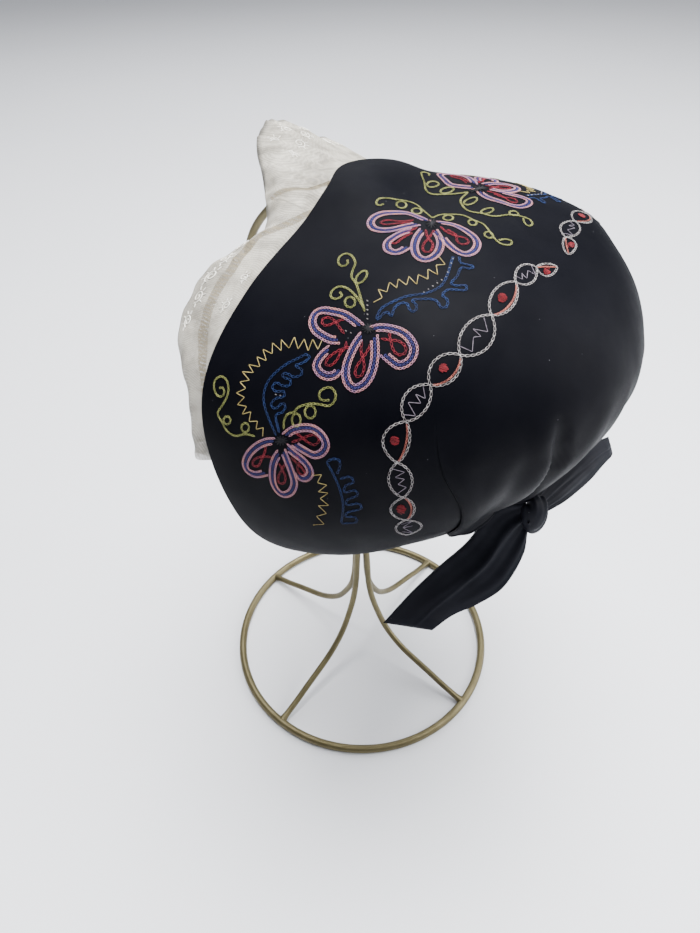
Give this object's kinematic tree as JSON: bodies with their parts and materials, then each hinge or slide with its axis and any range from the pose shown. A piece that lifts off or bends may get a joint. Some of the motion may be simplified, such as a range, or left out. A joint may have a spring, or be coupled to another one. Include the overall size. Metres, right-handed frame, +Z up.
{
  "type": "embroidered bonnet on a wire hat stand",
  "caption": "Stiff black satin bonnet with chain-stitched flowers and a twisted border, a net front piece and a nape bow, on a wire balloon hat stand with a ring base.",
  "frame": {"origin": "on the floor, below the middle of the whole object's box", "axes": "+Z up, -Y the side the face looks to, +X the wearer's left"},
  "size_m": [0.184, 0.1872, 0.2934],
  "materials": {
    "gold_wire": "matte gold paint",
    "black_satin": "soft satin",
    "white_net": "open net with denser woven motifs"
  },
  "bodies": {
    "root": {"wire_stand": "gold_wire", "bonnet_shell": "black_satin", "nape_pleats": "black_satin", "front_lace": "white_net", "bow_knot": "black_satin", "bow_loop_left": "black_satin", "bow_loop_right": "black_satin"}
  },
  "joints": []
}
